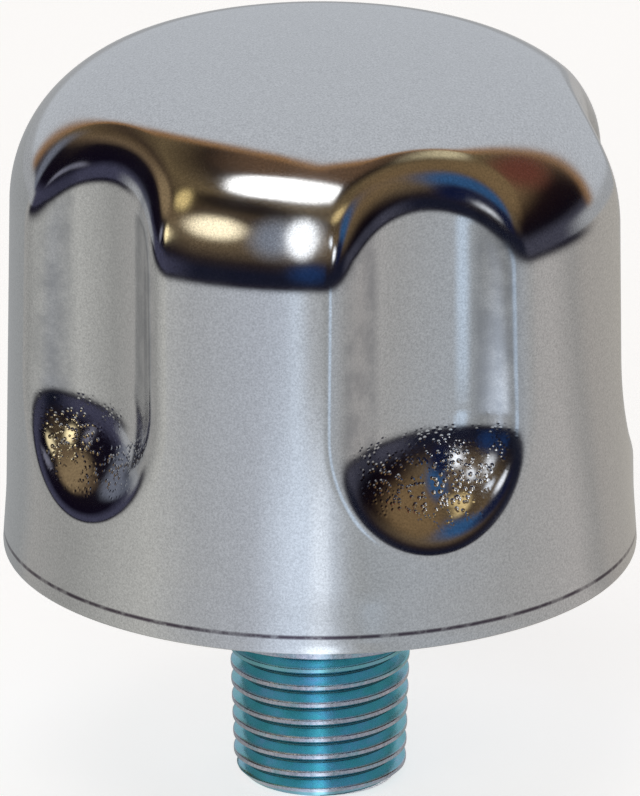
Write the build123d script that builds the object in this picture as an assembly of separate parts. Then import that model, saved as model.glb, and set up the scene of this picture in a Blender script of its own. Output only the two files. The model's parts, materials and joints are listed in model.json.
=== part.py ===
"""Screw-in air breather filter: a fluted drawn-steel cap over a filter element, on a 1/4-18 NPT stem.

Millimetres, +Z up.  The origin is the centre of the stem's lower end face, and the stem, the base,
the element and the cap all share the Z axis.  The thread is right-handed.
"""
from build123d import *
import math
import os

# ---- Driving dimensions -------------------------------------------------------------------------
# Stem: 1/4-18 NPT tapered thread below a round collar.
thread_pitch = 25.4 / 18
thread_length = 12.5
thread_taper_half = math.degrees(math.atan(1 / 32))
thread_major_r0 = 6.50        # major radius at the small lower end, over cut-down crests
thread_depth = 0.80
thread_turns = 8
crest_half_flat = 0.18
stem_bore_r = 4.0
stem_end_chamfer = 0.7
collar_r = 9.7
collar_edge = 0.5
spigot_r = 6.5
swage_lip_r = 7.6
swage_lip_h = 0.8
swage_lip_taper = 0.4
seat_gap = 0.05               # clearance of a loose ring or disc in its seat

# Cap: drawn sheet with a curled rim and five finger flutes.
sheet = 0.8
rim_z = 18.4                  # underside of the rim
rim_r = 24.0                  # outside of the curled bead
bead_r = 0.9
bead_roll = 0.85              # share of the bead's radius at which it runs back into the wall
rim_inner_r = 21.5            # inner edge of the curl, which holds the base plate
wall_low_r = 23.6
wall_top_r = 23.15
wall_low_z = rim_z + 2.3
shoulder_z = rim_z + 27.3     # where the wall runs into the shoulder
shoulder_r = 11.0
crown_half_angle = 6.8        # slope of the crown where the shoulder meets it, in degrees

# Flutes: round-bottomed grooves that end in a hemisphere below and run out over the shoulder.
flute_count = 5
flute_first = 22.0            # degrees from -Y towards +X
flute_axis_r = 31.6
flute_r = 11.75
flute_low_z = rim_z + 17.0    # centre of the hemispherical lower end
flute_edge_r = 1.2

# Base plate with its ring of vent holes.
plate_t = 1.0
plate_r = 22.6
vent_count = 24
vent_r = 1.3
vent_circle_r = 20.0

# Filter element.
element_r = 18.6
element_bore_r = 11.0
element_top_z = 50.0
media_out_r = 17.6
media_in_r = 11.8
pleats = 40
paper_t = 0.3
tin_t = 0.5                   # thickness of the element's pressed end caps
end_cap_lip_h = 2.6
end_cap_lip_t = 0.3
tube_t = 0.4                  # sheet of the inner tube and the outer guard
tube_seat = 0.5               # radial step between the element's bore and the inner tube
tube_hole_r = 1.3
tube_holes_round = 10
tube_hole_rows = 6
guard_hole_r = 1.5
guard_holes_round = 18
guard_hole_rows = 7
gasket_inset = 0.4

# Prefilter stack between the cap's wall and the element.
screen_hole_r = 0.9
screen_holes = 48
retainer_hole_r = 1.2
retainer_holes = 30
foam_gap = 0.1

# Splash baffle that stands over the stem's bore, and the screen in the bore's mouth.
baffle_legs = 3
baffle_rivet_circle_r = 9.6
baffle_leg_r = 7.95
baffle_leg_w = 2.6
baffle_t = 0.6
baffle_h = 6.5
rivet_shank_r = 0.6
rivet_head_r = 0.85
rivet_head_h = 0.4
screen_r = 5.0
screen_mesh_hole_r = 0.45
screen_mesh_pitch = 1.4

# Knitted pad that catches oil mist, and the wire rings that hold it.
pad_z = 32.0
pad_h = 12.0
pad_r = 10.9
snap_wire_r = 0.4
snap_ring_turn = 325          # degrees of wire in the open ring

# Spring that holds the element down.
spring_wire_r = 0.6
spring_r = 8.0
spring_turns = 3.5
spring_gap = 0.02             # clearance of the wire at either end of the spring
spring_cup_t = 0.5
spring_cup_r = 10.4
spring_cup_bore_r = 3.0
spring_cup_lip_h = 1.8

# ---- Levels that follow from them ---------------------------------------------------------------
plate_z = rim_z + sheet
plate_top = plate_z + plate_t
seal_t = 0.5
collar_top = plate_z - seal_t
washer_t = 1.0
stem_washer_r = swage_lip_r + 0.2
spigot_top = plate_top + washer_t
gasket_t = 1.5
element_z = plate_top + gasket_t
screen_t = 0.4
foam_h = 4.1
foam_z = plate_top + screen_t
retainer_z = foam_z + foam_h
ring_in_r = 18.8              # inner radius of the prefilter stack around the element
ring_out_r = 22.2
crown_rise_r = wall_top_r - shoulder_r
crown_dome_r = crown_rise_r / math.sin(math.radians(crown_half_angle)) + shoulder_r
crown_center_z = shoulder_z - (crown_dome_r - shoulder_r) * math.cos(math.radians(crown_half_angle))
crown_z = crown_center_z + crown_dome_r
baffle_top = plate_top + baffle_h
spring_cup_z = crown_z - sheet - 1.0


def ring(r_out, r_in, z0, z1):
    """Plain ring about Z between two heights."""
    body = Cylinder(r_out, z1 - z0, align=(Align.CENTER, Align.CENTER, Align.MIN))
    if r_in > 0:
        body -= Cylinder(r_in, z1 - z0, align=(Align.CENTER, Align.CENTER, Align.MIN))
    return Pos(0, 0, z0) * body


def revolved(points):
    """Solid of revolution about Z of a closed outline given as (radius, z) points."""
    outline = Plane.XZ * make_face(Polyline(*points, close=True))
    return revolve(outline, Axis.Z)


def around(shape, count, first=0.0):
    """Copies of a shape at equal angles about Z."""
    return [Rot(0, 0, first + 360.0 * i / count) * shape for i in range(count)]


def one(solids):
    """A single solid out of a boolean result."""
    found = solids.solids()
    return found[0] if len(found) == 1 else Compound(children=list(found))


# ---- Cap ----------------------------------------------------------------------------------------
def cap_profile(inset):
    """Half section of the cap down to the wall's lower end, set inwards by the given amount."""
    tilt = math.radians(crown_half_angle)
    low = (wall_low_r - inset, wall_low_z)
    top = (wall_top_r - inset, shoulder_z)
    arc_r = shoulder_r - inset
    mid_tilt = math.radians(45 + crown_half_angle / 2)
    mid = (crown_rise_r + arc_r * math.sin(mid_tilt), shoulder_z + arc_r * math.cos(mid_tilt))
    crown_edge = (crown_rise_r + arc_r * math.sin(tilt), shoulder_z + arc_r * math.cos(tilt))
    dome_r = crown_dome_r - inset
    dome_mid = (dome_r * math.sin(tilt / 2), crown_center_z + dome_r * math.cos(tilt / 2))
    apex = (0, crown_center_z + dome_r)
    return low, top, mid, crown_edge, dome_mid, apex


def domed_body(inset):
    """Solid filled up to the cap's surface, or to that surface set inwards."""
    low, top, mid, crown_edge, dome_mid, apex = cap_profile(inset)
    edges = [
        Line((0, wall_low_z), low),
        Line(low, top),
        ThreePointArc(top, mid, crown_edge),
        ThreePointArc(crown_edge, dome_mid, apex),
        Line(apex, (0, wall_low_z)),
    ]
    return revolve(Plane.XZ * make_face(edges), Axis.Z)


def flute_tools(grow):
    """The five round-ended columns that press the flutes in, thickened by the given amount."""
    r = flute_r + grow
    column = Pos(0, 0, flute_low_z) * Cylinder(r, 40, align=(Align.CENTER, Align.CENTER, Align.MIN))
    tool = Pos(0, -flute_axis_r, 0) * (column + Pos(0, 0, flute_low_z) * Sphere(r))
    return around(tool, flute_count, flute_first)


def rim_curl():
    """Curled bead at the rim: a round outer edge and a flat inward lip under the base plate."""
    bead_z = rim_z + bead_r
    roll_z = bead_z + bead_r * bead_roll
    center_r = rim_r - bead_r
    inner = wall_low_r - sheet
    edges = [
        Line((rim_inner_r, rim_z), (center_r, rim_z)),
        ThreePointArc((center_r, rim_z), (rim_r, bead_z), (wall_low_r, roll_z)),
        Line((wall_low_r, roll_z), (wall_low_r, wall_low_z)),
        Line((wall_low_r, wall_low_z), (inner, wall_low_z)),
        Line((inner, wall_low_z), (inner, plate_z)),
        Line((inner, plate_z), (rim_inner_r, plate_z)),
        Line((rim_inner_r, plate_z), (rim_inner_r, rim_z)),
    ]
    return revolve(Plane.XZ * make_face(edges), Axis.Z)


def cap_shell():
    outside = domed_body(0)
    for tool in flute_tools(0):
        outside -= tool
    edges = [e for e in outside.edges() if e.geom_type not in (GeomType.CIRCLE, GeomType.LINE)]
    outside = fillet(edges, flute_edge_r)
    inside = domed_body(sheet)
    for tool in flute_tools(sheet):
        inside -= tool
    return one(outside - inside + rim_curl())


# ---- Base ---------------------------------------------------------------------------------------
def base_plate():
    plate = ring(plate_r, spigot_r, plate_z, plate_top)
    hole = Pos(vent_circle_r, 0, 0) * ring(vent_r, 0, plate_z, plate_top)
    rivet_hole = Pos(baffle_rivet_circle_r, 0, 0) * ring(rivet_shank_r, 0, plate_z, plate_top)
    return one(plate - around(hole, vent_count) - around(rivet_hole, baffle_legs))


def thread_outline():
    """Right side of the threaded length: sixty-degree teeth on the taper, from the end face up."""
    slope = math.tan(math.radians(thread_taper_half))
    points = [
        (thread_major_r0 - stem_end_chamfer, 0),
        (thread_major_r0 + stem_end_chamfer * slope, stem_end_chamfer),
    ]
    half_mouth = thread_depth * math.tan(math.radians(30))
    root_half_flat = thread_pitch / 2 - half_mouth - crest_half_flat
    for i in range(thread_turns):
        root_z = stem_end_chamfer + crest_half_flat + half_mouth + root_half_flat + i * thread_pitch
        major_r = thread_major_r0 + root_z * slope
        points += [
            (major_r, root_z - root_half_flat - half_mouth),
            (major_r - thread_depth, root_z - root_half_flat),
            (major_r - thread_depth, root_z + root_half_flat),
            (major_r, root_z + root_half_flat + half_mouth),
        ]
    points.append((thread_major_r0 + thread_length * slope, thread_length))
    return points


def threaded_stem():
    """Stem turned from bar: the thread is cut as parallel rings at the true pitch and taper."""
    outline = [
        (stem_bore_r, 0),
        *thread_outline(),
        (collar_r - collar_edge, thread_length),
        (collar_r, thread_length + collar_edge),
        (collar_r, collar_top - collar_edge),
        (collar_r - collar_edge, collar_top),
        (spigot_r, collar_top),
        (spigot_r, spigot_top),
        (swage_lip_r, spigot_top + swage_lip_h * swage_lip_taper),
        (swage_lip_r - swage_lip_taper, spigot_top + swage_lip_h),
        (screen_r, spigot_top + swage_lip_h),
        (screen_r, spigot_top + swage_lip_h - screen_t),
        (stem_bore_r, spigot_top + swage_lip_h - screen_t),
    ]
    return one(revolved(outline))


def collar_seal():
    return ring(collar_r - collar_edge, spigot_r + seat_gap, collar_top, plate_z)


def stem_washer():
    return ring(stem_washer_r, spigot_r + seat_gap, plate_top, spigot_top)


def stem_screen():
    z0 = spigot_top + swage_lip_h - screen_t
    screen = ring(screen_r - seat_gap, 0, z0, z0 + screen_t)
    mesh_hole = ring(screen_mesh_hole_r, 0, z0, z0 + screen_t)
    reach = int(screen_r / screen_mesh_pitch)
    grid = [screen_mesh_pitch * i for i in range(-reach, reach + 1)]
    holes = [Pos(x, y, 0) * mesh_hole for x in grid for y in grid if math.hypot(x, y) < stem_bore_r]
    return one(screen - holes)


# ---- Splash baffle over the stem's bore -----------------------------------------------------------
def splash_baffle():
    upright = (Align.MIN, Align.CENTER, Align.MIN)
    roof = ring(baffle_leg_r + baffle_t, 0, baffle_top - baffle_t, baffle_top)
    leg = Pos(baffle_leg_r, 0, plate_top) * Box(baffle_t, baffle_leg_w, baffle_h - baffle_t, align=upright)
    foot = Pos(baffle_leg_r, 0, plate_top) * Box(baffle_leg_w, baffle_leg_w, baffle_t, align=upright)
    hole = Pos(baffle_rivet_circle_r, 0, 0) * ring(rivet_shank_r, 0, plate_top, plate_top + baffle_t)
    legs = around(leg + foot - hole, baffle_legs)
    return one(roof + legs)


def baffle_rivets():
    shank = ring(rivet_shank_r, 0, plate_z, plate_top + baffle_t)
    head_z = plate_top + baffle_t
    head = ring(rivet_head_r, 0, head_z, head_z + rivet_head_h)
    rivet = Pos(baffle_rivet_circle_r, 0, 0) * (shank + head)
    return Compound(children=[one(r) for r in around(rivet, baffle_legs)])


# ---- Prefilter stack over the vents ---------------------------------------------------------------
def perforated_ring(z0, t, hole_r, count):
    body = ring(ring_out_r, ring_in_r, z0, z0 + t)
    hole = Pos((ring_out_r + ring_in_r) / 2, 0, 0) * ring(hole_r, 0, z0, z0 + t)
    return one(body - around(hole, count))


def vent_screen():
    return perforated_ring(plate_top, screen_t, screen_hole_r, screen_holes)


def prefilter_foam():
    return ring(ring_out_r - foam_gap, ring_in_r + foam_gap, foam_z, retainer_z)


def foam_retainer():
    return perforated_ring(retainer_z, tin_t, retainer_hole_r, retainer_holes)


# ---- Filter element -------------------------------------------------------------------------------
def element_gasket():
    return ring(element_r - gasket_inset, element_bore_r + gasket_inset, plate_top, element_z)


def end_cap(z0, up, closed):
    """Pressed channel that holds one end of the pleat pack; up is +1 or -1, the way its rims turn."""
    z1 = z0 + up * tin_t
    z2 = z0 + up * end_cap_lip_h
    disc = ring(element_r, 0 if closed else element_bore_r, min(z0, z1), max(z0, z1))
    outer = ring(element_r, element_r - end_cap_lip_t, min(z0, z2), max(z0, z2))
    return one(disc + outer)


def lower_end_cap():
    return end_cap(element_z, 1, False)


def upper_end_cap():
    return end_cap(element_top_z, -1, True)


def pleated_media():
    """Pleated paper ring: a zigzag of constant thickness."""
    depth = media_out_r - media_in_r
    half_pitch = math.pi * (media_out_r + media_in_r) / 2 / pleats
    radial_t = paper_t * math.hypot(depth, half_pitch) / half_pitch
    outer = []
    inner = []
    for i in range(2 * pleats):
        a = math.pi * i / pleats
        peak = i % 2 == 0
        ro = media_out_r if peak else media_in_r + radial_t
        ri = media_out_r - radial_t if peak else media_in_r
        outer.append((ro * math.cos(a), ro * math.sin(a)))
        inner.append((ri * math.cos(a), ri * math.sin(a)))
    face = make_face(Polyline(*outer, close=True)) - make_face(Polyline(*inner, close=True))
    z0 = element_z + tin_t
    return one(Pos(0, 0, z0) * extrude(face, element_top_z - tin_t - z0))


def perforated_tube(r_out, holes_round, rows, hole_r):
    z0 = element_z + tin_t
    z1 = element_top_z - tin_t
    tube = ring(r_out, r_out - tube_t, z0, z1)
    step = (z1 - z0) / (rows + 1)
    drill = Rot(0, 90, 0) * Cylinder(hole_r, r_out + tube_t, align=(Align.CENTER, Align.CENTER, Align.MIN))
    holes = []
    for row in range(rows):
        turn = 180.0 / holes_round * (row % 2)
        holes += [Pos(0, 0, z0 + step * (row + 1)) * h for h in around(drill, holes_round, turn)]
    return one(tube - holes)


def inner_tube():
    return perforated_tube(element_bore_r + tube_seat, tube_holes_round, tube_hole_rows, tube_hole_r)


def outer_guard():
    guard_r = element_r - end_cap_lip_t - seat_gap
    return perforated_tube(guard_r, guard_holes_round, guard_hole_rows, guard_hole_r)


def demister_pad():
    return ring(pad_r, 0, pad_z, pad_z + pad_h)


def snap_ring(z):
    """Open round-wire ring sprung into the inner tube."""
    mean_r = pad_r - snap_wire_r
    wire = Pos(mean_r, 0, 0) * (Rot(90, 0, 0) * Circle(snap_wire_r))
    return one(Pos(0, 0, z) * revolve(wire, Axis.Z, snap_ring_turn))


def pad_ring_lower():
    return snap_ring(pad_z - snap_wire_r)


def pad_ring_upper():
    return snap_ring(pad_z + pad_h + snap_wire_r)


# ---- Spring that holds the element down -----------------------------------------------------------
def element_spring():
    z0 = element_top_z + spring_wire_r + spring_gap
    height = spring_cup_z - spring_wire_r - spring_gap - z0
    path = Helix(height / spring_turns, height, spring_r)
    section = Plane(origin=(spring_r, 0, 0), x_dir=(1, 0, 0), z_dir=(0, 1, 0)) * Circle(spring_wire_r)
    return one(Pos(0, 0, z0) * sweep(section, path=path, is_frenet=True))


def spring_cup():
    cup_top = spring_cup_z + spring_cup_t
    disc = ring(spring_cup_r, spring_cup_bore_r, spring_cup_z, cup_top)
    lip = ring(spring_cup_r, spring_cup_r - spring_cup_t, spring_cup_z - spring_cup_lip_h, cup_top)
    return one(disc + lip)


NODES = {
    "cap_shell": cap_shell,
    "base_plate": base_plate,
    "threaded_stem": threaded_stem,
    "collar_seal": collar_seal,
    "stem_washer": stem_washer,
    "stem_screen": stem_screen,
    "splash_baffle": splash_baffle,
    "baffle_rivets": baffle_rivets,
    "vent_screen": vent_screen,
    "prefilter_foam": prefilter_foam,
    "foam_retainer": foam_retainer,
    "element_gasket": element_gasket,
    "lower_end_cap": lower_end_cap,
    "pleated_media": pleated_media,
    "inner_tube": inner_tube,
    "outer_guard": outer_guard,
    "upper_end_cap": upper_end_cap,
    "demister_pad": demister_pad,
    "pad_ring_lower": pad_ring_lower,
    "pad_ring_upper": pad_ring_upper,
    "element_spring": element_spring,
    "spring_cup": spring_cup,
}

os.makedirs("parts", exist_ok=True)
for name, build in NODES.items():
    export_step(build(), f"parts/{name}.step")
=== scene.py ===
"""Looks of the screw-in breather filter: the fluted chrome cap, the zinc-plated stem, and the studio.

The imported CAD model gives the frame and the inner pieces.  The cap and the stem are rebuilt here as
smooth meshes that stand for their CAD nodes.  Lengths in the dimensions and in both meshes are in
millimetres, and mm() turns a point into Blender's metres.  Materials, camera and table use metres.
"""
import json
import math
import bmesh
import bpy
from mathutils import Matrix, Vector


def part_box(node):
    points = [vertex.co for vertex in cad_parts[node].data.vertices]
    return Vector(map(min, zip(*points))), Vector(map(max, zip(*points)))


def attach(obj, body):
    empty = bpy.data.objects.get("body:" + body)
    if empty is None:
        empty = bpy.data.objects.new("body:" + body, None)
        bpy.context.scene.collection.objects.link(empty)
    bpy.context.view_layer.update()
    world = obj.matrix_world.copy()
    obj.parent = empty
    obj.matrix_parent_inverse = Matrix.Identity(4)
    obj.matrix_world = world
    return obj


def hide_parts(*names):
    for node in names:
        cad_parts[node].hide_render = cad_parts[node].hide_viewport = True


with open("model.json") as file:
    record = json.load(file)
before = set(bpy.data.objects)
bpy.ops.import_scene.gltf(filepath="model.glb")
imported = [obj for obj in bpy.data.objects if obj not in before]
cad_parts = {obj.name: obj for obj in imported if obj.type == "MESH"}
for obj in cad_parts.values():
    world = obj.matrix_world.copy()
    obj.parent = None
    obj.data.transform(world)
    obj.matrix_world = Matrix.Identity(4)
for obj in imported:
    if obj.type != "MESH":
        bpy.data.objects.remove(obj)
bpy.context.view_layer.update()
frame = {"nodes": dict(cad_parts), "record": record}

# ---- Driving dimensions -------------------------------------------------------------------------
RIM_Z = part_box("cap_shell")[0][2] * 1000  # underside of the rim
SHEET = 0.8
LIP_R = 21.5                         # inner edge of the curl
BEAD_R = 0.5                         # radius of the rim's bead in section
WALL_LOW_R = 23.6
FLARE_Z = RIM_Z + 4.6                # where the wall starts to flare towards the rim
FLARE_SLOPE = 0.07
CREASE = 1.45                        # height of the crease above the underside of the rim
WALL_TOP_R = 23.15
SHOULDER_Z = RIM_Z + 27.3
SHOULDER_R = 11.0
CROWN_TILT = math.radians(6.8)       # slope of the crown where the shoulder meets it

FLUTES = 5
FLUTE_FIRST = math.radians(22.0)     # from -Y towards +X
FLUTE_AXIS_R = 31.6
FLUTE_R = 11.75
FLUTE_LOW_Z = RIM_Z + 17.0
FLUTE_BLEND = 1.3                    # how softly a flute runs into the wall
FLUTE_BLEND_TOP = 2.2                # and into the shoulder
BLEND_ABOVE = 3.0                    # the blend widens from this far above SHOULDER_Z
BLEND_RISE = 5.0                     # over this height
DEEPEST = 9.0                        # more than a flute presses the sheet in anywhere
HALVINGS = 26                        # steps that find a pressed point

BOWL_ABOVE = 1.0                     # the sheet is stretched from this far above FLUTE_LOW_Z
BOWL_FADE = 5.0                      # fully so this much further down
STRETCHED = 1.5                      # and where it was pressed in by this much
FLOOR_LEAN = math.radians(17)        # a flute's floor turns into its side wall here
WALL_LEAN = math.radians(4)          # and is all wall this much further up
PRESS_EDGE = 0.15                    # pressed in by less, a point belongs to the flute's edge
PRESS_FADE = 0.5

PITCH = 25.4 / 18
THREAD_LENGTH = 12.5
THREAD_SLOPE = 1 / 32
THREAD_MAJOR_R = 6.50                # at the end face
THREAD_DEPTH = 0.80                  # the crests and roots are cut short
CREST_FLAT = 0.36
ROOT_FLAT = 0.13
END_CHAMFER = 0.8
THREAD_START = 0.24                  # where the helix starts, in turns
RUN_OUT = 0.9 * PITCH                # the thread gets shallow over this length, below the collar
FRESH_TURNS = 1.4                    # the crests are less worn over this many turns below the collar
FRESH = 0.6                          # and this worn there
EDGE = 0.3                           # rounding of the collar, chamfer of the bore
COLLAR_R = 9.7
COLLAR_TOP = RIM_Z + SHEET - 0.5
STEM_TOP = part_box("threaded_stem")[1][2] * 1000
SPIGOT_R = 6.5
SWAGE_R = 7.6
SWAGE_H = 0.8
BORE_R = 4.0
MOUTH_R = 5.0                        # seat for the screen at the bore's upper end
MOUTH_DEPTH = 0.4

CAP_COLUMNS = 720
CROWN_ROWS = 24
SHOULDER_ROWS = 80
WALL_ROWS = 110
STEM_COLUMNS = 160


def mm(*point):
    """A point in millimetres as Blender's metres."""
    return tuple(value / 1000 for value in point)


def part_of(value, full):
    """How far a value has come from 0 to full, as a share from 0 to 1."""
    return min(max(value, 0) / full, 1)


def mesh_piece(name, points, faces, node, material):
    """A smooth-shaded piece on the root body that stands for one CAD node."""
    mesh = bpy.data.meshes.new(name)
    mesh.from_pydata([mm(*p) for p in points], [], faces)
    mesh.validate()
    mesh.polygons.foreach_set("use_smooth", [True] * len(mesh.polygons))
    piece = bpy.data.objects.new(name, mesh)
    bpy.context.scene.collection.objects.link(piece)
    mesh.materials.append(material)
    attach(piece, "root")
    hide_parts(node)
    return piece


def ring_faces(first, row_count, columns, inside_out=False):
    """Faces between rings of points that each close on themselves."""
    faces = []
    for i in range(row_count - 1):
        low = first + i * columns
        high = low + columns
        for j in range(columns):
            k = (j + 1) % columns
            right_way = (low + j, low + k, high + k, high + j)
            turned_over = (low + j, high + j, high + k, low + k)
            faces.append(turned_over if inside_out else right_way)
    return faces


def weld(piece):
    """Joins the points that coincide where a thread was cut off at a flat end."""
    work = bmesh.new()
    work.from_mesh(piece.data)
    bmesh.ops.remove_doubles(work, verts=work.verts, dist=2e-6)
    bmesh.ops.dissolve_degenerate(work, edges=work.edges, dist=2e-6)
    work.to_mesh(piece.data)
    work.free()


# ---- Cap surface --------------------------------------------------------------------------------
def arc(center, radius, start, end, count):
    """Points and normals along an arc; angles are in radians from straight up, outwards."""
    rows = []
    for i in range(count + 1):
        a = start + (end - start) * i / count
        normal = (math.sin(a), math.cos(a))
        rows.append(((center[0] + radius * normal[0], center[1] + radius * normal[1]), normal))
    return rows


def straight(start, end, count):
    """Points and normals along a line that runs downwards on the outside."""
    run = (end[0] - start[0], end[1] - start[1])
    size = math.hypot(*run)
    normal = (-run[1] / size, run[0] / size)
    return [((start[0] + run[0] * i / count, start[1] + run[1] * i / count), normal)
            for i in range(1, count)]


def dome_section(inset, fineness):
    """Half section from the apex down to the wall's lower end, set inwards by inset, and its apex."""
    hub_r = WALL_TOP_R - SHOULDER_R
    dome_r = hub_r / math.sin(CROWN_TILT) + SHOULDER_R
    dome_z = SHOULDER_Z - (dome_r - SHOULDER_R) * math.cos(CROWN_TILT)
    crown = arc((0, dome_z), dome_r - inset, 0, CROWN_TILT, int(CROWN_ROWS * fineness))
    shoulder_rows = int(SHOULDER_ROWS * fineness)
    shoulder = arc((hub_r, SHOULDER_Z), SHOULDER_R - inset, CROWN_TILT, math.pi / 2, shoulder_rows)
    wall_top = (WALL_TOP_R - inset, SHOULDER_Z)
    wall = straight(wall_top, (WALL_LOW_R - inset, FLARE_Z), int(WALL_ROWS * fineness))
    return crown[1:] + shoulder[1:] + wall, dome_z + dome_r - inset


def from_flute(azimuth):
    """The azimuth counted from the middle of the nearest flute."""
    turn = 2 * math.pi / FLUTES
    return (azimuth - FLUTE_FIRST + turn / 2) % turn - turn / 2


def flute_depth(point, aside):
    """How far a point lies inside the nearest flute's round-ended column, below zero outside."""
    across = point[0] * math.sin(aside)
    along = point[0] * math.cos(aside) - FLUTE_AXIS_R
    below = min(point[1] - FLUTE_LOW_Z, 0)
    return FLUTE_R - math.sqrt(across * across + along * along + below * below)


def pressed(point, normal, aside, grow):
    """The point moved inwards to where the flute's surface blends with the drawn surface."""
    rise = part_of(point[1] - SHOULDER_Z - BLEND_ABOVE, BLEND_RISE)
    blend = FLUTE_BLEND + (FLUTE_BLEND_TOP - FLUTE_BLEND) * rise * rise * (3 - 2 * rise)
    if flute_depth(point, aside) + grow < -blend:
        return point

    def surface(depth):
        moved = (point[0] - normal[0] * depth, point[1] - normal[1] * depth)
        inside = flute_depth(moved, aside) + grow
        overlap = max(blend - abs(-depth - inside), 0) / blend
        return max(-depth, inside) + overlap * overlap * blend / 4

    low, high = 0.0, DEEPEST
    for _ in range(HALVINGS):
        middle = (low + high) / 2
        if surface(middle) > 0:
            low = middle
        else:
            high = middle
    return (point[0] - normal[0] * low, point[1] - normal[1] * low)


def strain(z, moved):
    """How much the press stretched the sheet, from 0 to 1: most in a flute's rounded lower end."""
    return part_of(moved, STRETCHED) * part_of(FLUTE_LOW_Z + BOWL_ABOVE - z, BOWL_FADE)


def flank(radius, aside, moved):
    """How far up a flute's side wall a pressed point lies, from 0 on the floor to 1 near the edge."""
    lean = math.asin(min(abs(radius * math.sin(aside)) / FLUTE_R, 1))
    return part_of(lean - FLOOR_LEAN, WALL_LEAN) * part_of(moved - PRESS_EDGE, PRESS_FADE)


def rim_section():
    """Half section of the rim as (point, painted shade): a flare, a crease darkened by painted shade,
    the oval bead and its lip.
    """
    def flared(above):
        return (WALL_LOW_R + FLARE_SLOPE * (FLARE_Z - RIM_Z - above), RIM_Z + above)

    crease_shading = {0.20: 0, 0.10: 0.8, 0.0: 1, -0.10: 0.8, -0.20: 0}
    flare = [(flared(above), 0) for above in (3.8, 3.0, 2.2)]
    flare += [(flared(CREASE + above), painted_shade) for above, painted_shade in crease_shading.items()]
    flare += [(flared(above), 0) for above in (1.0, 0.7)]
    center = (flared(0.6)[0] - 0.02 - BEAD_R, RIM_Z + BEAD_R)
    bead = [(p, 0) for p, _ in arc(center, BEAD_R, math.radians(84), math.pi, 10)]
    lip = [
        (LIP_R + 0.3, RIM_Z), (LIP_R + 0.1, RIM_Z + 0.05), (LIP_R, RIM_Z + 0.15),
        (LIP_R, RIM_Z + SHEET - 0.1), (LIP_R + 0.1, RIM_Z + SHEET),
        (WALL_LOW_R - SHEET - 0.2, RIM_Z + SHEET), (WALL_LOW_R - SHEET, RIM_Z + SHEET + 0.2),
    ]
    return flare + bead + [(p, 0) for p in lip]


def cap_mesh():
    """Points and faces of the cap, and the marks that its chrome reads at each point."""
    outer, apex_z = dome_section(0, 1)
    inner, inner_apex_z = dome_section(SHEET, 0.5)
    sections = [
        ([(point, normal, 0) for point, normal in outer], 0.0),
        ([(point, None, painted_shade) for point, painted_shade in rim_section()], 0.0),
        ([(point, normal, 0) for point, normal in inner[::-1]], SHEET),
    ]
    azimuths = [2 * math.pi * i / CAP_COLUMNS for i in range(CAP_COLUMNS)]
    points = []
    marks = {"stretch": [], "flank": [], "painted_crease_shade": []}
    for rows, grow in sections:
        for point, normal, painted_shade in rows:
            for azimuth in azimuths:
                aside = from_flute(azimuth)
                r, z = pressed(point, normal, aside, grow) if normal else point
                moved = math.dist(point, (r, z))
                points.append((r * math.sin(azimuth), -r * math.cos(azimuth), z))
                marks["stretch"].append(strain(z, moved))
                marks["flank"].append(flank(r, aside, moved))
                marks["painted_crease_shade"].append(painted_shade)
    apex = len(points)
    faces = ring_faces(0, apex // CAP_COLUMNS, CAP_COLUMNS, inside_out=True)
    last = apex - CAP_COLUMNS
    for j in range(CAP_COLUMNS):
        k = (j + 1) % CAP_COLUMNS
        faces.append((apex, j, k))
        faces.append((apex + 1, last + k, last + j))
    points += [(0, 0, apex_z), (0, 0, inner_apex_z)]
    for values in marks.values():
        values += [0, 0]
    return points, faces, marks


# ---- Stem surface -------------------------------------------------------------------------------
def thread_profile():
    """Phase and depth of the points that draw one pitch, from root to root, crest in the middle."""
    side = (PITCH - CREST_FLAT - ROOT_FLAT) / 2
    crest = ROOT_FLAT / 2 + side
    run = [(0.0, 1.0), (ROOT_FLAT / 2, 1.0)]
    run += [(ROOT_FLAT / 2 + side * t, 1 - t) for t in (0.04, 0.25, 0.5, 0.75, 0.92)]
    crowned = ((0.04, 0.015), (0.3, 0.0), (0.7, 0.0), (0.96, 0.015))
    run += [(crest + CREST_FLAT * t, depth) for t, depth in crowned]
    run += [(PITCH - ROOT_FLAT / 2 - side * t, 1 - t) for t in (0.92, 0.75, 0.5, 0.25, 0.04)]
    run += [(PITCH - ROOT_FLAT / 2, 1.0)]
    return [(z / PITCH, THREAD_DEPTH * depth) for z, depth in run]


def thread_radius(z, depth):
    """Radius of the male thread at a height, for a point cut to the given depth."""
    threaded = THREAD_MAJOR_R + z * THREAD_SLOPE - depth * part_of(THREAD_LENGTH - z, RUN_OUT)
    chamfered = THREAD_MAJOR_R - END_CHAMFER + z
    return min(threaded, chamfered)


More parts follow.
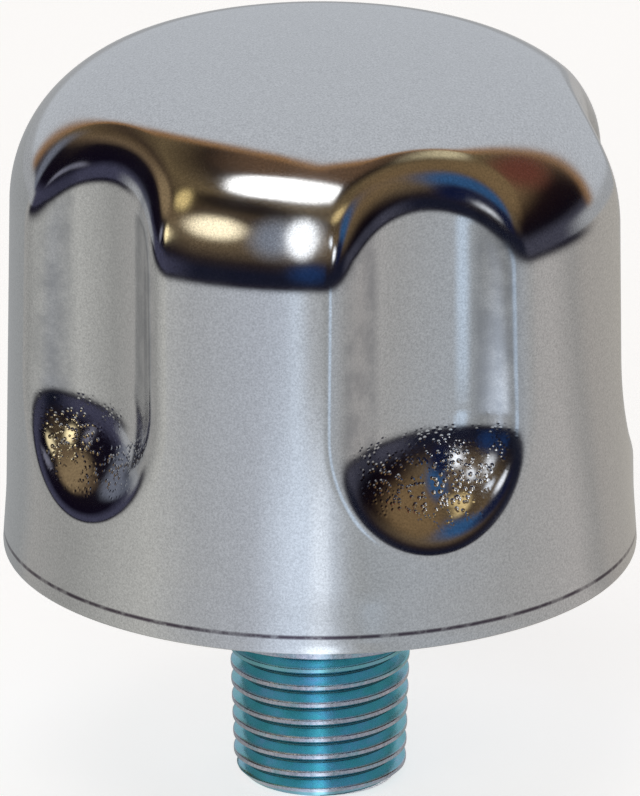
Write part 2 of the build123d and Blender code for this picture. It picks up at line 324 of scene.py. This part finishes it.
def stem_mesh():
    """The thread is a strip wound as a right-hand helix; plain rings carry on above and inside."""
    profile = thread_profile()
    per_turn = len(profile)
    turns = int(THREAD_LENGTH / PITCH) + 3
    points = []
    crest = []
    for i in range(turns * per_turn):
        phase, depth = profile[i % per_turn]
        for j in range(STEM_COLUMNS):
            a = 2 * math.pi * j / STEM_COLUMNS
            z = (i // per_turn + phase - 1 + j / STEM_COLUMNS + THREAD_START) * PITCH
            z = min(max(z, 0), THREAD_LENGTH)
            r = thread_radius(z, depth)
            points.append((r * math.cos(a), r * math.sin(a), z))
            wear_and_painted_shade = FRESH + (1 - FRESH) * part_of((THREAD_LENGTH - z) / PITCH - FRESH_TURNS, 1)
            crest.append((1 - depth / THREAD_DEPTH) * wear_and_painted_shade)
    strip_rows = turns * per_turn
    faces = []
    for i in range(strip_rows):
        for j in range(STEM_COLUMNS):
            wraps = j == STEM_COLUMNS - 1
            k = 0 if wraps else j + 1
            low = i + per_turn if wraps else i
            if max(i, low) + 1 >= strip_rows:
                continue
            faces.append((i * STEM_COLUMNS + j, low * STEM_COLUMNS + k,
                          (low + 1) * STEM_COLUMNS + k, (i + 1) * STEM_COLUMNS + j))
    return points, faces, crest


def stem_rest_section():
    """Half section from the thread's upper end over the collar and spigot, and down inside the bore."""
    thread_top_r = THREAD_MAJOR_R + THREAD_LENGTH * THREAD_SLOPE
    rows = [(r, THREAD_LENGTH) for r in (thread_top_r, thread_top_r + 0.3, COLLAR_R - 0.5)]
    for z, start in ((THREAD_LENGTH + EDGE, math.pi), (COLLAR_TOP - EDGE, math.pi / 2)):
        rows += [p for p, _ in arc((COLLAR_R - EDGE, z), EDGE, start, start - math.pi / 2, 5)]
    swage_z = STEM_TOP - SWAGE_H
    rows += [(SPIGOT_R, COLLAR_TOP), (SPIGOT_R, swage_z), (SWAGE_R, swage_z + 0.32)]
    rows += [(SWAGE_R - 0.4, STEM_TOP), (MOUTH_R, STEM_TOP), (MOUTH_R, STEM_TOP - MOUTH_DEPTH)]
    rows += [(BORE_R, STEM_TOP - MOUTH_DEPTH), (BORE_R, 14.0), (BORE_R, EDGE), (BORE_R + EDGE, 0.0)]
    rows += [(THREAD_MAJOR_R - END_CHAMFER, 0.0)]
    return rows


def lathe_rows(points, faces, rows, columns):
    """Adds rings of a half section to a mesh under construction."""
    first = len(points)
    for r, z in rows:
        for j in range(columns):
            a = 2 * math.pi * j / columns
            points.append((r * math.cos(a), r * math.sin(a), z))
    faces += ring_faces(first, len(rows), columns)


# ---- Node helpers -------------------------------------------------------------------------------
class Graph:
    """Short ways to add nodes to one node tree.  Numbers and tuples become socket values."""

    def __init__(self, tree):
        self.tree = tree

    def add(self, kind, inputs=(), output=0, **settings):
        node = self.tree.nodes.new("ShaderNode" + kind)
        for key, value in settings.items():
            setattr(node, key, value)
        for key, value in dict(inputs).items():
            self.put(value, node.inputs[key])
        return node.outputs[output]

    def put(self, value, socket):
        if isinstance(value, bpy.types.NodeSocket):
            self.tree.links.new(value, socket)
        else:
            socket.default_value = value

    def calc(self, operation, *values):
        return self.add("Math", enumerate(values), operation=operation)

    def dot(self, a, b):
        return self.add("VectorMath", {0: a, 1: b}, output="Value", operation="DOT_PRODUCT")

    def step(self, value, start, end, low=0.0, high=1.0):
        """A smooth step from low to high as value goes from start to end."""
        inputs = {"Value": value, "From Min": start, "From Max": end, "To Min": low, "To Max": high}
        return self.add("MapRange", inputs, interpolation_type="SMOOTHSTEP")

    def mix(self, share, below, above):
        inputs = {"Factor": share, 6: below, 7: above}
        return self.add("Mix", inputs, output=2, data_type="RGBA")

    def ramp(self, value, stops):
        socket = self.add("ValToRGB", {"Fac": value})
        ramp = socket.node.color_ramp
        while len(ramp.elements) < len(stops):
            ramp.elements.new(0.5)
        for element, (position, colour) in zip(ramp.elements, stops):
            element.position = position
            element.color = colour
        return socket

    def noise(self, vector, scale, detail=2.0, roughness=0.5):
        inputs = {"Vector": vector, "Scale": scale, "Detail": detail, "Roughness": roughness}
        return self.add("TexNoise", inputs)


def new_material(name):
    """A material, its graph and its shader."""
    material = bpy.data.materials.new(name)
    material.use_nodes = True
    graph = Graph(material.node_tree)
    return material, graph, material.node_tree.nodes["Principled BSDF"]


def shown(red, green, blue, alpha=1.0):
    """Scene colour of a displayed colour given in steps of 255."""
    def linear(step):
        value = step / 255
        return value / 12.92 if value <= 0.04045 else ((value + 0.055) / 1.055) ** 2.4
    return (linear(red), linear(green), linear(blue), alpha)


CHROME_TINT = (0.84, 0.84, 0.85)


def mirrored(red, green, blue, gain=1.0):
    """Radiance that looks like the given displayed colour once it is seen in the chrome."""
    return tuple(gain * c / t for c, t in zip(shown(red, green, blue), CHROME_TINT)) + (1.0,)


# ---- Materials ----------------------------------------------------------------------------------
# Textures lie in object space, so a scale counts cells in a metre.
def chrome():
    """Bright chrome over drawn sheet: fine grain all over, pitted where the sheet stretched most, with
    painted shade on the flutes' side walls and in the crease above the rim.
    """
    material, graph, shader = new_material("cap_chrome")
    place = graph.add("TexCoord", output="Object")
    stretch = graph.add("Attribute", output="Fac", attribute_name="stretch")
    side = graph.add("Attribute", output="Fac", attribute_name="flank")
    painted_crease_shade = graph.add("Attribute", output="Fac", attribute_name="painted_crease_shade")
    grain = graph.noise(place, 6500, 3, 0.7)
    clean = graph.ramp(grain, [(0.34, (0.69, 0.69, 0.70, 1)), (0.66, (0.98, 0.98, 0.99, 1))])
    # Painted shade: the flutes' side walls are darkened to grey, in patches.
    flank_shade_patches = graph.step(graph.noise(place, 420, 3, 0.6), 0.3, 0.7, 0.25, 0.75)
    wear_and_painted_shade = graph.calc("MULTIPLY", side, flank_shade_patches)
    clean = graph.mix(wear_and_painted_shade, clean, (0.42, 0.43, 0.46, 1))
    # Painted shade: a dark purple line along the crease above the rim, in patches.
    patchy = graph.step(graph.noise(place, 520, 4, 0.7), 0.34, 0.56, 0.5, 1.0)
    tint = graph.mix(graph.calc("MULTIPLY", painted_crease_shade, patchy), clean, (0.08, 0.055, 0.085, 1))
    cells = graph.add("TexVoronoi", {"Vector": place, "Scale": 2600.0}, output="Distance")
    pits = graph.step(cells, 0.05, 0.50)
    uneven = graph.step(graph.noise(place, 260, 2), 0.38, 0.56, 0.15, 1.0)
    pitted = graph.calc("MULTIPLY", stretch, uneven)
    swell = graph.noise(place, 330, 2, 0.5)
    wave = graph.add("Bump", {"Height": swell, "Strength": 0.02, "Distance": 0.0003})
    strength = graph.calc("MULTIPLY", graph.calc("POWER", pitted, 2.0), 0.8)
    bump = graph.add("Bump", {"Height": pits, "Strength": strength, "Distance": 0.00006, "Normal": wave})
    haze = graph.step(graph.noise(place, 160, 3), 0.3, 0.7, 0.08, 0.13)
    graph.put(1.0, shader.inputs["Metallic"])
    graph.put(tint, shader.inputs["Base Color"])
    graph.put(haze, shader.inputs["Roughness"])
    graph.put(bump, shader.inputs["Normal"])
    return material


def zinc():
    """Blue-passivated zinc: teal flanks, roots darkened with painted shade, worn pale and lilac on
    crests and collar.
    """
    material, graph, shader = new_material("stem_zinc")
    place = graph.add("TexCoord", output="Object")
    crest = graph.add("Attribute", output="Fac", attribute_name="crest")
    blotch = graph.noise(place, 420, 3, 0.6)
    speck = graph.noise(place, 5200, 3, 0.7)
    mottled = graph.calc("MULTIPLY_ADD", speck, 0.4, graph.calc("MULTIPLY", blotch, 0.6))
    teal = graph.ramp(mottled, [
        (0.30, (0.20, 0.52, 0.60, 1)), (0.45, (0.27, 0.66, 0.72, 1)),
        (0.55, (0.31, 0.66, 0.80, 1)), (0.70, (0.50, 0.70, 0.92, 1)),
    ])
    # Painted shade: the roots of the thread are darkened to a deep teal.
    teal = graph.mix(graph.step(crest, 0.05, 0.01), teal, (0.09, 0.25, 0.30, 1))
    wear_and_painted_shade = graph.ramp(speck, [(0.3, (0.40, 0.44, 0.52, 1)), (0.7, (0.86, 0.86, 0.98, 1))])
    ragged = graph.calc("MULTIPLY_ADD", speck, 0.16, graph.calc("SUBTRACT", crest, 0.08))
    patches = graph.step(graph.noise(place, 700, 2), 0.30, 0.52, 0.55, 1.0)
    rubbed = graph.calc("MULTIPLY", graph.step(ragged, 0.84, 1.0), patches)
    bump = graph.add("Bump", {"Height": speck, "Strength": 0.12, "Distance": 0.00005})
    graph.put(1.0, shader.inputs["Metallic"])
    graph.put(graph.mix(rubbed, teal, wear_and_painted_shade), shader.inputs["Base Color"])
    graph.put(graph.step(speck, 0.3, 0.7, 0.18, 0.30), shader.inputs["Roughness"])
    graph.put(bump, shader.inputs["Normal"])
    return material


def metal(name, pale, dark, scale, roughness):
    """Plated or bare metal: cloudy at one scale, with a finer grain over it."""
    material, graph, shader = new_material(name)
    place = graph.add("TexCoord", output="Object")
    cloud = graph.noise(place, scale, 3, 0.6)
    grain = graph.noise(place, 16 * scale, 3, 0.7)
    mottled = graph.calc("MULTIPLY_ADD", grain, 0.35, graph.calc("MULTIPLY", cloud, 0.65))
    colour = graph.ramp(mottled, [(0.35, (*dark, 1)), (0.65, (*pale, 1))])
    bump = graph.add("Bump", {"Height": grain, "Strength": 0.2, "Distance": 0.00003})
    graph.put(1.0, shader.inputs["Metallic"])
    graph.put(colour, shader.inputs["Base Color"])
    haze = graph.step(grain, 0.3, 0.7, roughness - 0.06, roughness + 0.10)
    graph.put(haze, shader.inputs["Roughness"])
    graph.put(bump, shader.inputs["Normal"])
    return material


def matt(name, pale, dark, cell, depth, roughness):
    """Paper, foam, rubber or fibre; cell size and depth are in millimetres."""
    material, graph, shader = new_material(name)
    place = graph.add("TexCoord", output="Object")
    cells = graph.add("TexVoronoi", {"Vector": place, "Scale": 1000 / cell}, output="Distance")
    fibres = graph.noise(place, 400 / cell, 4, 0.7)
    height = graph.calc("MULTIPLY", cells, fibres)
    graph.put(graph.ramp(height, [(0.05, (*dark, 1)), (0.35, (*pale, 1))]), shader.inputs["Base Color"])
    graph.put(graph.step(fibres, 0.3, 0.7, roughness - 0.08, roughness), shader.inputs["Roughness"])
    bump = graph.add("Bump", {"Height": height, "Strength": 0.6, "Distance": depth / 1000})
    graph.put(bump, shader.inputs["Normal"])
    return material


def inner_finishes():
    """One material for each of the record's slots that the inner pieces use."""
    return {
        "plate_zinc": metal("plate_zinc", (0.72, 0.76, 0.80), (0.50, 0.55, 0.60), 240, 0.26),
        "steel_wire": metal("steel_wire", (0.66, 0.65, 0.64), (0.40, 0.39, 0.38), 900, 0.34),
        "tin_plate": metal("tin_plate", (0.76, 0.75, 0.71), (0.58, 0.58, 0.56), 400, 0.30),
        "filter_paper": matt("filter_paper", (0.78, 0.66, 0.38), (0.52, 0.40, 0.20), 0.25, 0.03, 0.92),
        "foam": matt("foam", (0.11, 0.11, 0.12), (0.012, 0.012, 0.014), 0.6, 0.35, 0.95),
        "rubber": matt("rubber", (0.045, 0.045, 0.047), (0.018, 0.018, 0.02), 0.12, 0.012, 0.62),
        "fibre": matt("fibre", (0.42, 0.17, 0.11), (0.26, 0.09, 0.06), 0.18, 0.015, 0.78),
    }


# ---- Pieces -------------------------------------------------------------------------------------
cap_points, cap_faces, cap_marks = cap_mesh()
cap = mesh_piece("chrome_cap", cap_points, cap_faces, "cap_shell", chrome())
for name, values in cap_marks.items():
    cap.data.attributes.new(name, "FLOAT", "POINT").data.foreach_set("value", values)

stem_points, stem_faces, stem_crest = stem_mesh()
lathe_rows(stem_points, stem_faces, stem_rest_section(), STEM_COLUMNS)
stem_crest += [1.0] * (len(stem_points) - len(stem_crest))
stem = mesh_piece("pipe_stem", stem_points, stem_faces, "threaded_stem", zinc())
stem.data.attributes.new("crest", "FLOAT", "POINT").data.foreach_set("value", stem_crest)
weld(stem)

finishes = inner_finishes()
for subpart in frame["record"]["subparts"]:
    if subpart["material_slot"] in finishes:
        for material_slot in frame["nodes"][subpart["node"]].material_slots:
            material_slot.material = finishes[subpart["material_slot"]]

# ---- Camera -------------------------------------------------------------------------------------
CAMERA_TILT = math.radians(20.0)
CAMERA_DISTANCE = 0.8
CAMERA_LENS = 482
AIM_ABOVE_RIM = 0.0115
aim_z = RIM_Z / 1000 + AIM_ABOVE_RIM
camera_data = bpy.data.cameras.new("camera")
camera_data.lens = CAMERA_LENS
camera_data.sensor_width = 36
camera_data.dof.use_dof = False
camera = bpy.data.objects.new("camera", camera_data)
bpy.context.scene.collection.objects.link(camera)
camera_back = CAMERA_DISTANCE * math.cos(CAMERA_TILT)
camera.location = (0, -camera_back, aim_z + CAMERA_DISTANCE * math.sin(CAMERA_TILT))
camera.rotation_euler = (math.pi / 2 - CAMERA_TILT, 0, 0)
bpy.context.scene.camera = camera
bpy.context.scene.view_settings.view_transform = "Standard"


# ---- Studio -------------------------------------------------------------------------------------
def direction(azimuth, elevation):
    """Unit vector; azimuth 0 is towards the camera and grows towards +X, in degrees."""
    a = math.radians(azimuth)
    e = math.radians(elevation)
    return (math.sin(a) * math.cos(e), -math.cos(a) * math.cos(e), math.sin(e))


# What the chrome mirrors above the table, later ones over earlier ones.  Each lamp or dark patch:
# (azimuth, elevation), (half width, half height), colour, softness, tilt, squareness.
LAMPS = [
    ((-25, 67), (17, 9), mirrored(255, 255, 255, 1.5), 0.12, 0, 3),
    ((-43, 30), (10, 7.5), mirrored(255, 240, 205, 1.15), 0.45, 0, 2),
    ((-38, 49), (22, 5.5), mirrored(26, 19, 17), 0.6, 0, 2),
    ((-66, 42), (2.5, 7), mirrored(214, 190, 130), 0.6, 28, 2),
    ((-18, 28), (8, 13), mirrored(112, 118, 130), 0.6, 0, 2),
    ((-4, 3), (6, 7), mirrored(24, 46, 84), 0.8, 0, 2),
    ((-7, 29), (5.2, 15), mirrored(246, 250, 255, 1.35), 0.3, 0, 2),
    ((72, 38), (22, 17), mirrored(108, 88, 62), 0.5, 0, 2),
    ((38, 28), (7, 12), mirrored(42, 76, 114), 0.6, -10, 2),
    ((30, 14), (9, 10), mirrored(14, 20, 46), 0.5, 0, 2),
    ((19, 15), (4, 5.5), mirrored(236, 240, 246, 1.3), 0.5, 0, 2),
    ((9, 26), (3, 4), mirrored(232, 238, 246, 1.2), 0.4, 0, 2),
    ((22, 44), (9, 4), mirrored(206, 182, 130), 0.6, 0, 2),
    ((-64, 17), (4.5, 5), mirrored(255, 236, 186, 1.2), 0.5, 0, 2),
    ((-86, 31), (12, 9), mirrored(124, 106, 80), 0.5, 0, 2),
    ((-80, 11), (3, 6), mirrored(116, 116, 130), 0.6, -28, 2),
    ((-124, 8), (10, 16), mirrored(98, 102, 114), 0.5, 0, 2),
    ((104, 36), (9, 11), mirrored(92, 52, 42), 0.6, 0, 2),
    ((98, 62), (12, 5), mirrored(180, 168, 136), 0.6, 0, 2),
]
BACKDROP_LEFT = math.radians(38)     # half widths of the backdrop, from straight behind the object
BACKDROP_RIGHT = math.radians(59)


def lamp(graph, ray, below, place, half_size, colour, soft, tilt, square):
    """Lays one soft-edged lamp over the room.  Place, sizes and tilt are in degrees."""
    azimuth, elevation = place
    a = math.radians(azimuth)
    t = math.radians(tilt)
    side = (math.cos(a), math.sin(a), 0)
    up = direction(azimuth, elevation + 90)
    right = tuple(math.cos(t) * s + math.sin(t) * u for s, u in zip(side, up))
    above = tuple(math.cos(t) * u - math.sin(t) * s for s, u in zip(side, up))
    parts = []
    for axis, half in zip((right, above), half_size):
        reach = graph.calc("DIVIDE", graph.dot(ray, axis), math.sin(math.radians(half)))
        parts.append(graph.calc("POWER", graph.calc("ABSOLUTE", reach), square))
    edge = graph.calc("POWER", graph.calc("ADD", *parts), 1 / square)
    inside = graph.step(edge, 1 + soft, 1 - soft)
    facing = graph.calc("GREATER_THAN", graph.dot(ray, direction(azimuth, elevation)), 0.0)
    return graph.mix(graph.calc("MULTIPLY", inside, facing), below, colour)


def studio_world():
    """A dark warm room with a few lamps, and a pale backdrop behind the object."""
    world = bpy.data.worlds.new("studio")
    bpy.context.scene.world = world
    world.use_nodes = True
    graph = Graph(world.node_tree)
    ray = graph.add("TexCoord", output="Generated")
    parts = graph.add("SeparateXYZ", {0: ray}).node.outputs
    height = parts["Z"]

    middle = graph.ramp(height, [
        (0.0, mirrored(20, 22, 36)), (0.12, mirrored(34, 28, 30)), (0.30, mirrored(88, 74, 56)),
        (0.46, mirrored(92, 76, 54)), (0.64, mirrored(56, 45, 36)), (0.80, mirrored(92, 78, 56)),
        (0.90, mirrored(38, 29, 24)), (0.97, mirrored(86, 66, 50)),
    ])
    left_room = graph.ramp(height, [
        (0.0, mirrored(58, 58, 76)), (0.12, mirrored(12, 8, 20)), (0.36, mirrored(16, 12, 20)),
        (0.48, mirrored(96, 80, 62)), (0.86, mirrored(56, 42, 32)), (0.97, mirrored(120, 90, 60)),
    ])
    right_room = graph.ramp(height, [
        (0.0, mirrored(60, 60, 72)), (0.10, mirrored(10, 6, 14)), (0.36, mirrored(24, 14, 16)),
        (0.60, mirrored(72, 52, 42)), (0.86, mirrored(64, 56, 46)), (0.97, mirrored(112, 80, 52)),
    ])
    room = graph.mix(graph.step(parts["X"], -0.70, -0.88), middle, left_room)
    room = graph.mix(graph.step(parts["X"], 0.70, 0.92), room, right_room)
    for lamp_facts in LAMPS:
        room = lamp(graph, ray, room, *lamp_facts)

    left = graph.dot(ray, (math.cos(BACKDROP_LEFT), math.sin(BACKDROP_LEFT), 0))
    right = graph.dot(ray, (-math.cos(BACKDROP_RIGHT), math.sin(BACKDROP_RIGHT), 0))
    inside = graph.calc("MINIMUM", left, right)
    room = graph.mix(graph.step(inside, -0.10, -0.04), room, mirrored(132, 98, 64))
    room = graph.mix(graph.step(inside, -0.04, 0.05), room, mirrored(172, 176, 182))
    behind = graph.step(parts["Y"], 0.15, 0.45)
    beyond = graph.calc("MULTIPLY", behind, graph.step(height, 0.02, -0.05))
    room = graph.mix(beyond, room, mirrored(150, 152, 155))

    eye = graph.add("LightPath", output="Is Camera Ray")
    seen = graph.mix(eye, room, shown(250, 250, 250))
    graph.put(seen, world.node_tree.nodes["Background"].inputs["Color"])


TABLE_R = 0.38
TABLE_SIDES = 96
TABLE_LIGHT = 0.66                   # added to what lights the table, so that the camera sees white
# What the chrome mirrors on the table, over its ring of greys.  Each patch: azimuth in degrees,
# metres from the axis from faint to full, radians aside from faint to full, share, colour.
TABLE_PATCHES = [
    (17, (0.118, 0.126), (0.10, 0.02), 1.0, mirrored(180, 194, 210)),
    (-5, (0.15, 0.105), (0.34, 0.02), 0.85, mirrored(204, 215, 230)),
    (0, (0.14, 0.10), (0.085, 0.01), 0.6, mirrored(232, 240, 250)),
    (0, (0.085, 0.055), (0.13, 0.02), 1.0, mirrored(236, 246, 255, 1.2)),
    (0, (0.19, 0.30), (2.1, 1.8), 1.0, mirrored(24, 22, 34)),
]


def table_material():
    """White to the camera; to the chrome it is a grey table, lighter where lamps fall on it.

    turn is the azimuth in radians and reach the distance from the axis in metres.
    """
    material, graph, shader = new_material("floor_white")
    place = graph.add("TexCoord", output="Object")
    parts = graph.add("SeparateXYZ", {0: place}).node.outputs
    turn = graph.calc("ARCTAN2", parts["X"], graph.calc("MULTIPLY", parts["Y"], -1.0))
    reach = graph.add("VectorMath", {0: place}, output="Value", operation="LENGTH")
    bend = graph.step(reach, 0.06, 0.15, -8 / 360, 0.0)
    around = graph.calc("ADD", graph.calc("MULTIPLY_ADD", turn, 1 / (2 * math.pi), 0.5), bend)

    def at(azimuth, red, green, blue):
        return (0.5 + azimuth / 360, mirrored(red, green, blue))

    grey = graph.ramp(around, [
        at(-180, 170, 170, 172), at(-160, 146, 148, 150), at(-132, 140, 142, 143),
        at(-121, 150, 149, 147), at(-96, 142, 142, 140), at(-62, 170, 170, 167),
        at(-45, 158, 160, 163), at(-20, 166, 171, 180), at(-12, 172, 179, 190),
        at(-8, 190, 200, 213), at(-3, 164, 167, 171), at(4, 146, 148, 149),
        at(12, 148, 152, 156), at(25, 154, 158, 163), at(60, 152, 152, 152),
        at(88, 162, 159, 157), at(100, 144, 142, 140), at(108, 153, 149, 145),
        at(135, 162, 158, 152), at(180, 170, 170, 172),
    ])
    for azimuth, reaches, widths, share, colour in TABLE_PATCHES:
        off = graph.calc("ABSOLUTE", graph.calc("SUBTRACT", turn, math.radians(azimuth)))
        across = graph.step(off, *widths, 0.0, share)
        patch = graph.calc("MULTIPLY", graph.step(reach, *reaches), across)
        grey = graph.mix(patch, grey, colour)
    glow = graph.add("Emission", {"Color": grey, "Strength": 1.0})
    light = graph.add("Emission", {"Color": (1, 1, 1, 1), "Strength": TABLE_LIGHT})
    graph.put((0.9, 0.9, 0.9, 1), shader.inputs["Base Color"])
    graph.put(1.0, shader.inputs["Roughness"])
    lit = graph.add("AddShader", {0: shader.outputs[0], 1: light})
    eye = graph.add("LightPath", output="Is Camera Ray")
    surface = graph.add("MixShader", {0: eye, 1: glow, 2: lit})
    graph.put(surface, material.node_tree.nodes["Material Output"].inputs["Surface"])
    return material


floor_turns = [2 * math.pi * i / TABLE_SIDES for i in range(TABLE_SIDES)]
floor_edge = [(TABLE_R * math.cos(a), TABLE_R * math.sin(a), 0) for a in floor_turns]
floor_mesh = bpy.data.meshes.new("floor")
floor_mesh.from_pydata(floor_edge, [], [tuple(range(TABLE_SIDES))])
floor = bpy.data.objects.new("floor", floor_mesh)
bpy.context.scene.collection.objects.link(floor)
floor_mesh.materials.append(table_material())
studio_world()
